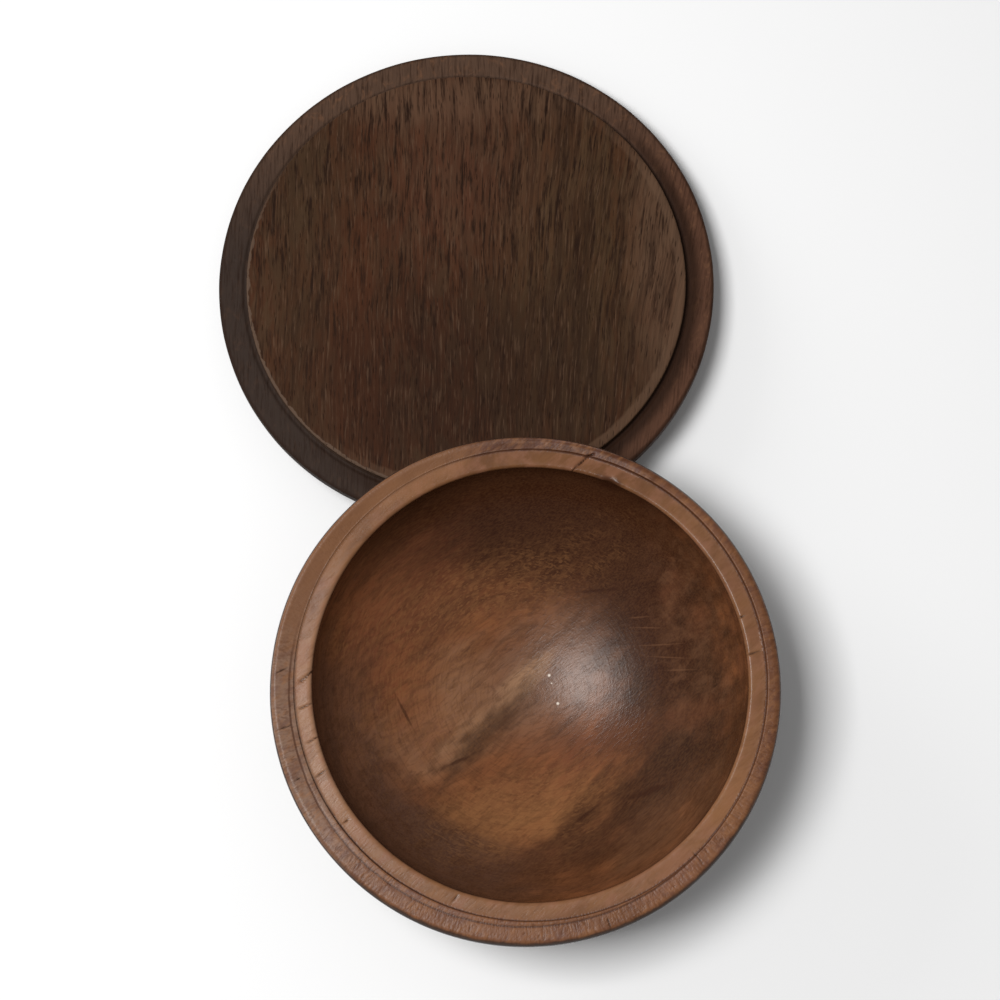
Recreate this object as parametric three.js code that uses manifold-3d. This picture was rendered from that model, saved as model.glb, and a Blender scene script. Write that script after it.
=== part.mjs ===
// A turned wooden bowl and its separate lid, as they lie with the lid taken off.
// The bowl stands on its flat foot. The lid lies underside up behind it: its far edge is on the
// table and its near edge leans on the bowl's flank, under the overhang of the rim.
// Millimetres, +Z up, origin at the middle of the bowl's foot, lid towards +Y.

import * as THREE from 'three';
import { mergeVertices } from 'three/addons/utils/BufferGeometryUtils.js';
import Module from 'manifold-3d';

const wasm = await Module();
wasm.setup();

// Bowl, outside
const rimRadius = 105;          // widest radius, at the upright side under the rim
const bowlHeight = 66;
const footRadius = 38;
const footRound = 1.5;          // worn edge of the foot
const sideHeight = 10;          // upright band between the flank and the rim's top
const rimRound = 3;             // rounded outer edge of the rim
const flankFullness = 1.15;     // exponent of the flank's curve: 1 is a cone, 2 an ellipse

// Bowl, inside. The hollow was turned a little off the middle of the outside.
const hollowOffsetX = 2.3;
const hollowOffsetY = 2.2;
const rimBand = 8;              // from the rim's widest radius in to the rebate's wall
const rebateDepth = 2.4;        // the lid's plug drops into this shallow rebate
const rebateRound = 0.6;        // broken edge at the top of the rebate's wall
const ledgeWidth = 7.5;         // from the rebate's wall in to the opening
const openingRound = 1.5;       // rounded edge between the ledge and the hollow
const floorThickness = 12;
const hollowFullness = 1.8;

// Lid. In its own axes the face that meets the rim is at z = 0 and the plug rises from it.
const lidOverhang = 3.5;        // how far the flange reaches past the rim
const lidThickness = 9;
const plugClearance = 1;        // around the plug when the lid is on
const flangeGap = 0.8;          // between flange and rim when the plug sits on the ledge
const plugRound = 0.8;
const flangeRound = 1.5;        // edge next to the mating face
const lidTopRound = 3;          // edge of the lid's outer face, downwards here

// How the lid lies
const lidLean = THREE.MathUtils.degToRad(5.1);
const leanClearance = 0.3;      // between the lid's near edge and the bowl's flank

// Facets
const turns = 72;
const curveSteps = 12;
const roundSteps = 3;
const samePoint = 1e-6;         // points of a profile closer than this are one
const weldDistance = 1e-5;

const ledgeHeight = bowlHeight - rebateDepth;
const rebateRadius = rimRadius - rimBand;
const openingRadius = rebateRadius - ledgeWidth;
const lidRadius = rimRadius + lidOverhang;
const plugRadius = rebateRadius - plugClearance;
const plugRise = rebateDepth + flangeGap;

// A quarter of a superellipse, from the axis side (from) up to an upright end (to).
function sweptCurve(from, to, fullness) {
  const points = [];
  for (let i = 0; i <= curveSteps; i += 1) {
    const angle = (i / curveSteps) * (Math.PI / 2);
    const across = Math.sin(angle) ** (2 / fullness);
    const up = 1 - Math.max(Math.cos(angle), 0) ** (2 / fullness);
    points.push(new THREE.Vector2(
      THREE.MathUtils.lerp(from.x, to.x, across),
      THREE.MathUtils.lerp(from.y, to.y, up),
    ));
  }
  return points;
}

// A round of the given radius about (x, y), between two angles in quarter turns.
function round(x, y, radius, start, end) {
  const points = [];
  for (let i = 0; i <= roundSteps; i += 1) {
    const angle = THREE.MathUtils.lerp(start, end, i / roundSteps) * (Math.PI / 2);
    points.push(new THREE.Vector2(x + radius * Math.cos(angle), y + radius * Math.sin(angle)));
  }
  return points;
}

// Turns a profile of (radius, height) points about the Z axis.
function turned(profile) {
  const apart = profile.filter((p, i) => i === 0 || p.distanceTo(profile[i - 1]) > samePoint);
  const geometry = new THREE.LatheGeometry(apart, turns);
  geometry.rotateX(Math.PI / 2);
  return geometry;
}

function toSolid(geometry) {
  const bare = geometry.clone();
  bare.deleteAttribute('normal');
  bare.deleteAttribute('uv');
  const merged = mergeVertices(bare, weldDistance);
  const mesh = new wasm.Mesh({
    numProp: 3,
    vertProperties: new Float32Array(merged.attributes.position.array),
    triVerts: new Uint32Array(merged.index.array),
  });
  return new wasm.Manifold(mesh);
}

function toGeometry(solid) {
  const mesh = solid.getMesh();
  const geometry = new THREE.BufferGeometry();
  geometry.setAttribute('position', new THREE.BufferAttribute(mesh.vertProperties, 3));
  geometry.setIndex(new THREE.BufferAttribute(mesh.triVerts, 1));
  geometry.computeVertexNormals();
  return geometry;
}

// Bowl: the turned outside, less the hollow with its ledge and rebate
const outside = [
  new THREE.Vector2(0, 0),
  ...round(footRadius - footRound, footRound, footRound, -1, 0),
  ...sweptCurve(
    new THREE.Vector2(footRadius, footRound),
    new THREE.Vector2(rimRadius, bowlHeight - sideHeight),
    flankFullness,
  ),
  ...round(rimRadius - rimRound, bowlHeight - rimRound, rimRound, 0, 1),
  new THREE.Vector2(0, bowlHeight),
];

const hollowTop = bowlHeight + rimRound;
const hollow = [
  ...sweptCurve(
    new THREE.Vector2(0, floorThickness),
    new THREE.Vector2(openingRadius, ledgeHeight - openingRound),
    hollowFullness,
  ),
  ...round(openingRadius + openingRound, ledgeHeight - openingRound, openingRound, 2, 1),
  new THREE.Vector2(rebateRadius, ledgeHeight),
  ...round(rebateRadius + rebateRound, bowlHeight - rebateRound, rebateRound, 2, 1),
  new THREE.Vector2(rebateRadius + rebateRound, hollowTop),
  new THREE.Vector2(0, hollowTop),
];

const hollowSolid = toSolid(turned(hollow)).translate([hollowOffsetX, hollowOffsetY, 0]);
const bowl = new THREE.Mesh(
  toGeometry(toSolid(turned(outside)).subtract(hollowSolid)),
  new THREE.MeshStandardMaterial({ color: 0x614230, roughness: 0.5, metalness: 0 }),
);
bowl.name = 'bowl';

// Lid: a flat disc with rounded edges and the raised plug of its underside
const lidProfile = [
  new THREE.Vector2(0, -lidThickness),
  ...round(lidRadius - lidTopRound, lidTopRound - lidThickness, lidTopRound, -1, 0),
  ...round(lidRadius - flangeRound, -flangeRound, flangeRound, 0, 1),
  new THREE.Vector2(plugRadius, 0),
  ...round(plugRadius - plugRound, plugRise - plugRound, plugRound, 0, 1),
  new THREE.Vector2(0, plugRise),
];

const lid = new THREE.Mesh(
  turned(lidProfile),
  new THREE.MeshStandardMaterial({ color: 0x3c271d, roughness: 0.6, metalness: 0 }),
);
lid.name = 'lid';

// Radius of the bowl's outside at a height, and how far a level gap there must be for the two
// faces to lie leanClearance apart.
function flankAt(height) {
  for (let i = 1; i < outside.length; i += 1) {
    const low = outside[i - 1];
    const high = outside[i];
    if (low.y <= height && height <= high.y && high.y > low.y) {
      const share = (height - low.y) / (high.y - low.y);
      const slope = Math.atan2(high.y - low.y, high.x - low.x);
      return {
        radius: THREE.MathUtils.lerp(low.x, high.x, share),
        gap: leanClearance / Math.sin(slope),
      };
    }
  }
  return { radius: 0, gap: 0 };
}

// The lean turns the lid about X, so its far edge goes down to the table and its near edge up.
// The lid then lies as close to the bowl as the flank lets its near edge come.
const sine = Math.sin(lidLean);
const cosine = Math.cos(lidLean);
lid.rotation.x = -lidLean;
lid.position.z = -Math.min(...lidProfile.map((p) => p.y * cosine - p.x * sine));
lid.position.y = Math.max(...lidProfile.map((p) => {
  const flank = flankAt(lid.position.z + p.x * sine + p.y * cosine);
  return flank.radius + flank.gap + p.x * cosine - p.y * sine;
}));

const lidded_bowl = new THREE.Group();
lidded_bowl.add(bowl, lid);

export default lidded_bowl;
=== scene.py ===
import math

import bpy
from mathutils import Matrix, Vector, noise


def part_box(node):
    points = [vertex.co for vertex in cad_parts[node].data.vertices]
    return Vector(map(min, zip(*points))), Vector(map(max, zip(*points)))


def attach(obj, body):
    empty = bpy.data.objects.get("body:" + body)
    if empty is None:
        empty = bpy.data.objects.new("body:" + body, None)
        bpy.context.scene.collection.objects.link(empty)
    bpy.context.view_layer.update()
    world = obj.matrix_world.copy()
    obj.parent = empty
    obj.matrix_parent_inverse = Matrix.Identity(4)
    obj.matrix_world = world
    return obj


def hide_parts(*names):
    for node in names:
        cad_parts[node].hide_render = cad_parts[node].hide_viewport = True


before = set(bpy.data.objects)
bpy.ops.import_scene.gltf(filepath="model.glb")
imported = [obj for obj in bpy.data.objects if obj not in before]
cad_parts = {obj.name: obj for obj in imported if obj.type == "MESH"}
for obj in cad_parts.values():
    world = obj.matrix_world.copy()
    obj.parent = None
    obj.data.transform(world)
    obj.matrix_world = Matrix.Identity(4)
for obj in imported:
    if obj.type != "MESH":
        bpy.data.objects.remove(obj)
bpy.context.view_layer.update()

# The bowl. One blank of mid brown hardwood, turned on a lathe. The hollow was turned a little off
# the middle of the outside. A smooth ledge runs round the opening, and a fine line was cut outside
# it. Age has opened cracks across the rim. Sizes are in millimetres, the mesh is in metres.
MM = 0.001
rim_radius = 105
past_rim = 130          # a radius beyond every edge
bowl_height = 66
foot_radius = 38
foot_round = 1.5
side_foot = 56          # where the upright side begins above the flank
rim_round = 3
flank_fullness = 1.15
hollow_offset = Vector((2.3, 2.2, 0))
rebate_radius = 97
rebate_round = 0.6
ledge_height = 63.6
opening_radius = 89.5
opening_round = 1.5
floor_thickness = 12
hollow_fullness = 1.8
coarse_columns = 300    # round the flank and the hollow
fine_columns = 1500     # round the rim, where cracks and tool marks need them
band_rows = 15


def swept_curve(start, end, fullness, steps):
    """A quarter of a superellipse, from the axis side up to an upright end."""
    points = []
    for i in range(steps + 1):
        angle = 0.5 * math.pi * i / steps
        across = math.sin(angle) ** (2 / fullness)
        up = 1 - max(math.cos(angle), 0) ** (2 / fullness)
        points.append((start[0] + (end[0] - start[0]) * across, start[1] + (end[1] - start[1]) * up))
    return points


def rounded(x, y, radius, start, end, steps):
    """A rounded edge about (x, y), between two angles in quarter turns."""
    points = []
    for i in range(steps + 1):
        angle = 0.5 * math.pi * (start + (end - start) * i / steps)
        points.append((x + radius * math.cos(angle), y + radius * math.sin(angle)))
    return points


def steps_between(start, end, count):
    """Points on a straight line, without its first one."""
    return [(start[0] + (end[0] - start[0]) * i / count, start[1] + (end[1] - start[1]) * i / count)
            for i in range(1, count + 1)]


def turn_on_lathe(rows, offset):
    """Rings of points from rows of (radius, height, share of the offset, columns).

    Returns the points, the way out of the wood at each, its row, and the faces.
    """
    points, outward, row_of, rings, faces = [], [], [], [], []
    for index, (radius, height, share, columns) in enumerate(rows):
        before = rows[max(index - 1, 0)]
        after = rows[min(index + 1, len(rows) - 1)]
        along = Vector((after[0] - before[0], after[1] - before[1])).normalized()
        rings.append((len(points), columns))
        for column in range(columns):
            angle = 2 * math.pi * column / columns
            away = Vector((math.cos(angle), math.sin(angle), 0))
            points.append(away * radius + offset * share + Vector((0, 0, height)))
            outward.append(away * along.y - Vector((0, 0, along.x)))
            row_of.append(index)
    for (low, low_columns), (high, high_columns) in zip(rings, rings[1:]):
        if low_columns == high_columns:
            for i in range(low_columns):
                j = (i + 1) % low_columns
                faces.append((low + i, low + j, high + j, high + i))
        elif low_columns == 1:
            faces += [(low, high + (i + 1) % high_columns, high + i) for i in range(high_columns)]
        elif high_columns == 1:
            faces += [(low + i, low + (i + 1) % low_columns, high) for i in range(low_columns)]
        else:
            many, few = max(low_columns, high_columns), min(low_columns, high_columns)
            share = many // few
            for i in range(few):
                j = (i + 1) % few
                for k in range(share):
                    first, second = i * share + k, (i * share + k + 1) % many
                    near = i if k < share // 2 else j
                    if low_columns > high_columns:
                        faces.append((low + first, low + second, high + near))
                    else:
                        faces.append((low + near, high + second, high + first))
                middle = i * share + share // 2
                if low_columns > high_columns:
                    faces.append((low + middle, high + j, high + i))
                else:
                    faces.append((low + i, low + j, high + middle))
    return points, outward, row_of, faces


def make_piece(name, points, faces, attributes):
    """A smooth mesh object in metres, with a number at each point for each named attribute."""
    mesh = bpy.data.meshes.new(name)
    mesh.from_pydata([point * MM for point in points], [], faces)
    for attribute_name, values in attributes.items():
        attribute = mesh.attributes.new(attribute_name, "FLOAT", "POINT")
        attribute.data.foreach_set("value", values)
    mesh.shade_smooth()
    piece = bpy.data.objects.new(name, mesh)
    bpy.context.scene.collection.objects.link(piece)
    return piece


def near_line(point, start, end):
    """Distance on the level from a point to a line, and how far along it (0 to 1) it is."""
    line = Vector((end[0] - start[0], end[1] - start[1]))
    away = Vector((point.x - start[0], point.y - start[1]))
    along = min(max(away.dot(line) / line.length_squared, 0), 1)
    return (away - line * along).length, along


def dip(distance, half_width):
    """A soft hollow: 1 in the middle, 0 at its half width and beyond."""
    return (1 - (distance / half_width) ** 2) ** 2 if distance < half_width else 0


outside_profile = (
    [(0, 0), (9, 0), (18, 0), (27, 0), (33, 0)]
    + rounded(foot_radius - foot_round, foot_round, foot_round, -1, 0, 4)
    + swept_curve((foot_radius, foot_round), (rim_radius, side_foot), flank_fullness, 28)[1:])
rim_top = ([(rim_radius, 58.3), (rim_radius, 60.6)]
           + rounded(rim_radius - rim_round, bowl_height - rim_round, rim_round, 0, 1, 8))
ledge_profile = (
    rounded(rebate_radius + rebate_round, bowl_height - rebate_round, rebate_round, 1, 2, 3)[1:]
    + [(rebate_radius, 64.6), (rebate_radius, 63.9), (rebate_radius - 0.1, ledge_height + 0.1)]
    + steps_between((rebate_radius - 0.2, ledge_height),
                    (opening_radius + opening_round, ledge_height), 6)
    + rounded(opening_radius + opening_round, ledge_height - opening_round, opening_round, 1, 2, 6)[1:])
hollow_profile = swept_curve((0, floor_thickness), (opening_radius, ledge_height - opening_round),
                             hollow_fullness, 46)[-2::-1]

bowl_rows = [(r, z, 0, coarse_columns if r else 1) for r, z in outside_profile]
bowl_rows += [(r, z, 0, fine_columns) for r, z in rim_top]
band_start, band_end = rim_radius - rim_round, rebate_radius + rebate_round
for i in range(1, band_rows + 1):
    share = i / band_rows
    bowl_rows.append((band_start + (band_end - band_start) * share, bowl_height, share, fine_columns))
bowl_rows += [(r, z, 1, fine_columns) for r, z in ledge_profile]
bowl_rows += [(r, z, 1, coarse_columns if r else 1) for r, z in hollow_profile]

# Marks of use and age on the bowl: the fine turned line, and cracks as lines on the level with a
# half width and a depth. Two of them meet in a V behind the opening, where a chip is gone.
fine_line_radius = 96.8
fine_line_half_width = 1.1
fine_line_depth = 0.16
lip_wear = 2.1          # how far the rebate's lip is worn down at the upper left
lip_wear_reach = 104.5  # the wear ends this far from the hollow's axis
cracks = [
    ((-91.6, 14.7), (-84.7, 19.2), 0.5, 0.8),
    ((-92.8, 4.1), (-87.4, 5.7), 0.4, 0.5),
    ((-91.2, -10.2), (-85.9, -7.8), 0.4, 0.5),
    ((-89.6, -24.4), (-84.5, -21.7), 0.4, 0.45),
    ((-81.1, -44.7), (-78.4, -43.0), 0.4, 0.4),
    ((-41.4, -81.9), (-38.3, -79.1), 0.4, 0.4),
    ((-101.0, 19.5), (-95.6, 21.5), 0.4, 0.3),
    ((-102.4, -3.4), (-96.4, -2.0), 0.4, 0.3),
    ((-98.6, -25.0), (-95.0, -23.6), 0.4, 0.3),
    ((20.5, -101.5), (19.6, -96.0), 0.4, 0.3),
    ((61.0, -80.5), (58.0, -75.5), 0.4, 0.3),
    ((92.0, 0.9), (97.2, 1.8), 0.4, 0.4),
    ((91.0, 16.5), (93.4, 17.2), 0.4, 0.4),
    ((31.0, 86.0), (33.6, 88.4), 0.4, 0.5),
    ((33.2, 88.2), (39.8, 92.2), 0.65, 1.1),
    ((39.0, 91.8), (42.0, 92.6), 0.5, 0.6),
]
rim_chips = [((46.4, 79.6), 3.6, 0.6), ((-30.0, 84.0), 2.4, 0.3)]
warp_depth = 0.25
ring_depth = 0.05
foot_ring_depth = 0.15
foot_ring_spacing = 9

points, outward, row_of, faces = turn_on_lathe(bowl_rows, hollow_offset)
first_rim_row = len(outside_profile)
first_hollow_row = len(bowl_rows) - len(hollow_profile)
crack_marks = [0.0] * len(points)
for i, point in enumerate(points):
    row = row_of[i]
    sunk = 0
    if first_rim_row + len(rim_top) - 4 <= row < first_hollow_row:
        from_middle = math.hypot(point.x, point.y)
        side = max(0, (0.77 * point.y - 0.64 * point.x) / 100 - 0.2) / 0.8
        if point.z > bowl_height - 0.01 and point.x < 60:
            groove = dip(abs(from_middle - fine_line_radius), fine_line_half_width)
            sunk += fine_line_depth * max(0, 1 - 1.5 * side) * groove
        for start, end, half_width, depth in cracks:
            if abs(point.x - start[0]) + abs(point.y - start[1]) > 20:
                continue
            distance, along = near_line(point, start, end)
            wander = 0.5 * noise.noise(Vector((point.x, point.y, 0)) * 0.7)
            cut = dip(abs(distance + wander * 0.4), half_width) * (0.4 + 0.6 * math.sin(math.pi * along))
            sunk += depth * cut
            crack_marks[i] = max(crack_marks[i], cut)
        for middle, reach, depth in rim_chips:
            distance = math.hypot(point.x - middle[0], point.y - middle[1])
            sunk += depth * dip(distance, reach)
        if point.z > ledge_height:
            above = (point.z - ledge_height) / (bowl_height - ledge_height)
            from_hollow = math.hypot(point.x - hollow_offset.x, point.y - hollow_offset.y)
            near_wall = min(max((lip_wear_reach - from_hollow) / 7, 0), 1)
            point.z -= lip_wear * side ** 0.5 * above * near_wall
        around = Vector((point.x, point.y, 0)) * 0.06
        sunk += warp_depth * (0.5 + 0.5 * noise.noise(around))
    elif row >= first_hollow_row:
        radius = bowl_rows[row][0]
        fade = min(radius / 20, 1)
        sunk += ring_depth * (1 + noise.noise(Vector((radius * 0.45, 7.1, 0)))) * fade
        sunk += warp_depth * (1 + noise.noise(point * 0.02)) * fade
    elif point.z > 0:
        sunk += ring_depth * (1 + noise.noise(Vector((point.z * 0.6, 2.3, 0))))
        sunk += warp_depth * 0.6 * (1 + noise.noise(point * 0.02))
    else:
        from_middle = math.hypot(point.x, point.y)
        sunk += foot_ring_depth * dip(abs(from_middle % foot_ring_spacing - foot_ring_spacing / 2), 1)
    point -= outward[i] * sunk

on_outside = [float(row < first_rim_row + len(rim_top) - 5) for row in row_of]
bowl_mesh = make_piece("bowl wood", points, faces, {"crack": crack_marks, "outside": on_outside})


def add(tree, kind, inputs=None, **settings):
    """Puts a node into a tree and sets it. Inputs are named, and either linked or set."""
    node = tree.nodes.new(kind)
    for name, value in settings.items():
        setattr(node, name, value)
    for name, value in (inputs or {}).items():
        socket = node.inputs[name]
        if isinstance(value, bpy.types.NodeSocket):
            tree.links.new(value, socket)
        else:
            socket.default_value = value
    return node


def maths(tree, operation, *values, **settings):
    """A sum of two or three numbers or masks."""
    return add(tree, "ShaderNodeMath", dict(enumerate(values)), operation=operation, **settings).outputs[0]


def times(tree, first, *others):
    """The product of masks and numbers."""
    for other in others:
        first = maths(tree, "MULTIPLY", first, other)
    return first


def vectors(tree, operation, *values, scale=1.0):
    """A sum of vectors. It gives a number where its operation does."""
    inputs = dict(enumerate(values))
    if operation == "SCALE":
        inputs["Scale"] = scale
    node = add(tree, "ShaderNodeVectorMath", inputs, operation=operation)
    return node.outputs["Value" if operation in ("LENGTH", "DOT_PRODUCT") else "Vector"]


def combine(tree, x=0.0, y=0.0, z=0.0):
    """A vector from numbers or masks."""
    return add(tree, "ShaderNodeCombineXYZ", {0: x, 1: y, 2: z}).outputs[0]


def eased(tree, value, low, high, to_low=0.0, to_high=1.0):
    """A value eased from one range into another, held at its ends.

    It is made of plain sums, because the renderer runs out of room for many range nodes.
    """
    share = maths(tree, "DIVIDE", maths(tree, "SUBTRACT", value, low), maths(tree, "SUBTRACT", high, low),
                  use_clamp=True)
    soft = maths(tree, "MULTIPLY", maths(tree, "MULTIPLY", share, share),
                 maths(tree, "MULTIPLY_ADD", share, -2.0, 3.0))
    if (to_low, to_high) == (0.0, 1.0):
        return soft
    return maths(tree, "MULTIPLY_ADD", soft, to_high - to_low, to_low)


def new_tree(name, kind, inputs, outputs):
    """A node group with its named inputs and outputs."""
    tree = bpy.data.node_groups.new(name, kind)
    for title, socket_type, value in inputs:
        socket = tree.interface.new_socket(title, in_out="INPUT", socket_type=socket_type)
        if value is not None:
            socket.default_value = value
    for title, socket_type in outputs:
        tree.interface.new_socket(title, in_out="OUTPUT", socket_type=socket_type)
    return tree, tree.nodes.new("NodeGroupInput").outputs, tree.nodes.new("NodeGroupOutput").inputs


# The lathe tool shook on the outer band of the rim and left short marks across it. They repeat all
# the way round, so a node tree presses them into the points.
shake_outwards = 220.0      # how fast the marks change outwards, for each metre
calm_stretches = 28.0       # how fast rough and calm stretches change, for each metre
chatter, given, result = new_tree(
    "tool chatter", "GeometryNodeTree",
    [("Geometry", "NodeSocketGeometry", None), ("Marks", "NodeSocketFloat", 300.0),
     ("Depth", "NodeSocketFloat", 0.0003), ("Inner radius", "NodeSocketFloat", 0.09),
     ("Outer radius", "NodeSocketFloat", 0.105), ("Lowest", "NodeSocketFloat", 0.06),
     ("Calm behind", "NodeSocketFloat", 0.03), ("Seed", "NodeSocketFloat", 3.0),
     ("Wood", "NodeSocketMaterial", None)],
    [("Geometry", "NodeSocketGeometry")])
place = add(chatter, "GeometryNodeInputPosition").outputs[0]
split = add(chatter, "ShaderNodeSeparateXYZ", {0: place}).outputs
flat = combine(chatter, split[0], split[1])
radius = vectors(chatter, "LENGTH", flat)
turns = maths(chatter, "DIVIDE", given["Marks"], 2 * math.pi)
around = vectors(chatter, "SCALE", vectors(chatter, "NORMALIZE", flat), scale=turns)
depthwise = maths(chatter, "ADD", times(chatter, radius, shake_outwards), given["Seed"])
spot = vectors(chatter, "ADD", around, combine(chatter, z=depthwise))
shake = add(chatter, "ShaderNodeTexNoise", {"Vector": spot, "Scale": 1.0, "Detail": 2.0}).outputs[0]
calm = add(chatter, "ShaderNodeTexNoise",
           {"Vector": vectors(chatter, "SCALE", place, scale=calm_stretches),
            "Scale": 1.0, "Detail": 1.0}).outputs[0]
past_inner = maths(chatter, "ADD", given["Inner radius"], 0.001)
past_outer = maths(chatter, "ADD", given["Outer radius"], 0.0005)
past_lowest = maths(chatter, "ADD", given["Lowest"], 0.002)
far_behind = maths(chatter, "ADD", given["Calm behind"], 0.04)
marks = times(chatter, eased(chatter, shake, 0.4, 0.66), eased(chatter, calm, 0.3, 0.55),
              eased(chatter, radius, given["Inner radius"], past_inner),
              eased(chatter, radius, past_outer, given["Outer radius"]),
              eased(chatter, split[2], given["Lowest"], past_lowest),
              eased(chatter, split[1], far_behind, given["Calm behind"], 0.12))
push = vectors(chatter, "SCALE", add(chatter, "GeometryNodeInputNormal").outputs[0],
               scale=times(chatter, marks, given["Depth"], -1.0))
marked = add(chatter, "GeometryNodeStoreNamedAttribute",
             {"Geometry": given["Geometry"], "Name": "chatter", "Value": marks},
             data_type="FLOAT", domain="POINT").outputs[0]
pressed = add(chatter, "GeometryNodeSetPosition", {"Geometry": marked, "Offset": push}).outputs[0]
whole = add(chatter, "GeometryNodeRealizeInstances", {"Geometry": pressed}).outputs[0]
coated = add(chatter, "GeometryNodeSetMaterial", {"Geometry": whole, "Material": given["Wood"]}).outputs[0]
chatter.links.new(coated, result["Geometry"])


def shaped_by(piece, tree, name, values):
    """A plain mesh object of the piece after the tree has worked on it."""
    modifier = piece.modifiers.new(name, "NODES")
    modifier.node_group = tree
    for item in tree.interface.items_tree:
        if item.item_type == "SOCKET" and item.in_out == "INPUT" and item.name in values:
            modifier[item.identifier] = values[item.name]
    shaped = piece.evaluated_get(bpy.context.evaluated_depsgraph_get())
    mesh = bpy.data.meshes.new_from_object(shaped)
    mesh.name = name
    piece.modifiers.remove(modifier)
    bpy.data.objects.remove(piece)
    mesh.set_sharp_from_angle(angle=math.radians(50))
    finished = bpy.data.objects.new(name, mesh)
    bpy.context.scene.collection.objects.link(finished)
    return finished


# Effects for the woods: open pores, fibres, a soft patch of another tone, a turned ring, and fine
# marks across a band.
def find_pores(tree, place, spacing, length, fill):
    """Short dashes along X, 1 inside them. Fill is their half width as a share of the spacing."""
    cells = vectors(tree, "DIVIDE", place, combine(tree, length, spacing, spacing))
    nearest = add(tree, "ShaderNodeTexVoronoi", {"Vector": cells, "Scale": 1.0}).outputs["Distance"]
    return eased(tree, nearest, fill, maths(tree, "MULTIPLY", fill, 0.45))


pores, given, result = new_tree(
    "open pores", "ShaderNodeTree",
    [("Vector", "NodeSocketVector", None), ("Spacing", "NodeSocketFloat", 1.2),
     ("Length", "NodeSocketFloat", 6.0), ("Fill", "NodeSocketFloat", 0.3)],
    [("Mask", "NodeSocketFloat")])
dashes = find_pores(pores, given["Vector"], given["Spacing"], given["Length"], given["Fill"])
pores.links.new(dashes, result["Mask"])

fibres, given, result = new_tree(
    "fibres", "ShaderNodeTree",
    [("Vector", "NodeSocketVector", None), ("Width", "NodeSocketFloat", 1.0),
     ("Length", "NodeSocketFloat", 25.0), ("Thickness", "NodeSocketFloat", 1.0),
     ("Detail", "NodeSocketFloat", 3.0), ("Curl", "NodeSocketFloat", 0.0),
     ("From", "NodeSocketFloat", 0.3), ("To", "NodeSocketFloat", 0.7)],
    [("Tone", "NodeSocketFloat")])
strand = combine(fibres, given["Length"], given["Width"], given["Thickness"])
threads = vectors(fibres, "DIVIDE", given["Vector"], strand)
tone = add(fibres, "ShaderNodeTexNoise",
           {"Vector": threads, "Scale": 1.0, "Detail": given["Detail"], "Roughness": 0.6,
            "Distortion": given["Curl"]}).outputs[0]
fibres.links.new(eased(fibres, tone, given["From"], given["To"]), result["Tone"])

patch, given, result = new_tree(
    "soft patch", "ShaderNodeTree",
    [("Vector", "NodeSocketVector", None), ("Grain", "NodeSocketVector", None),
     ("Middle", "NodeSocketVector", (0, 0, 0)), ("Half length", "NodeSocketFloat", 20.0),
     ("Half width", "NodeSocketFloat", 10.0), ("Turn", "NodeSocketFloat", 0.0),
     ("Softness", "NodeSocketFloat", 0.4), ("Ragged", "NodeSocketFloat", 0.5),
     ("Ragged size", "NodeSocketFloat", 12.0)],
    [("Mask", "NodeSocketFloat")])
from_middle = vectors(patch, "SUBTRACT", given["Vector"], given["Middle"])
cosine = maths(patch, "COSINE", given["Turn"])
sine = maths(patch, "SINE", given["Turn"])
along = vectors(patch, "DOT_PRODUCT", from_middle, combine(patch, cosine, sine))
across = vectors(patch, "DOT_PRODUCT", from_middle, combine(patch, times(patch, sine, -1.0), cosine))
level = combine(patch, maths(patch, "DIVIDE", along, given["Half length"]),
                maths(patch, "DIVIDE", across, given["Half width"]))
reach = vectors(patch, "LENGTH", level)
frayed = add(patch, "ShaderNodeTexNoise",
             {"Vector": given["Grain"], "Scale": maths(patch, "DIVIDE", 1.0, given["Ragged size"]),
              "Detail": 3.0}).outputs[0]
edge = maths(patch, "MULTIPLY_ADD", frayed, times(patch, given["Ragged"], 2.0),
             maths(patch, "SUBTRACT", reach, given["Ragged"]))
patch.links.new(eased(patch, edge, maths(patch, "ADD", 1.0, given["Softness"]),
                      maths(patch, "SUBTRACT", 1.0, given["Softness"])), result["Mask"])

ring, given, result = new_tree(
    "turned ring", "ShaderNodeTree",
    [("Vector", "NodeSocketVector", None), ("Middle", "NodeSocketVector", (0, 0, 0)),
     ("Inner", "NodeSocketFloat", 10.0), ("Outer", "NodeSocketFloat", 20.0),
     ("Softness", "NodeSocketFloat", 0.5), ("Ragged", "NodeSocketFloat", 0.0)],
    [("Mask", "NodeSocketFloat")])
from_middle = vectors(ring, "SUBTRACT", given["Vector"], given["Middle"])
reach = vectors(ring, "LENGTH", vectors(ring, "MULTIPLY", from_middle, (1, 1, 0)))
frayed = add(ring, "ShaderNodeTexNoise",
             {"Vector": given["Vector"], "Scale": 0.25, "Detail": 3.0}).outputs[0]
reach = maths(ring, "MULTIPLY_ADD", maths(ring, "SUBTRACT", frayed, 0.5), given["Ragged"], reach)
inner_side = eased(ring, reach, maths(ring, "SUBTRACT", given["Inner"], given["Softness"]), given["Inner"])
outer_side = eased(ring, reach, maths(ring, "ADD", given["Outer"], given["Softness"]), given["Outer"])
ring.links.new(times(ring, inner_side, outer_side), result["Mask"])

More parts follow.
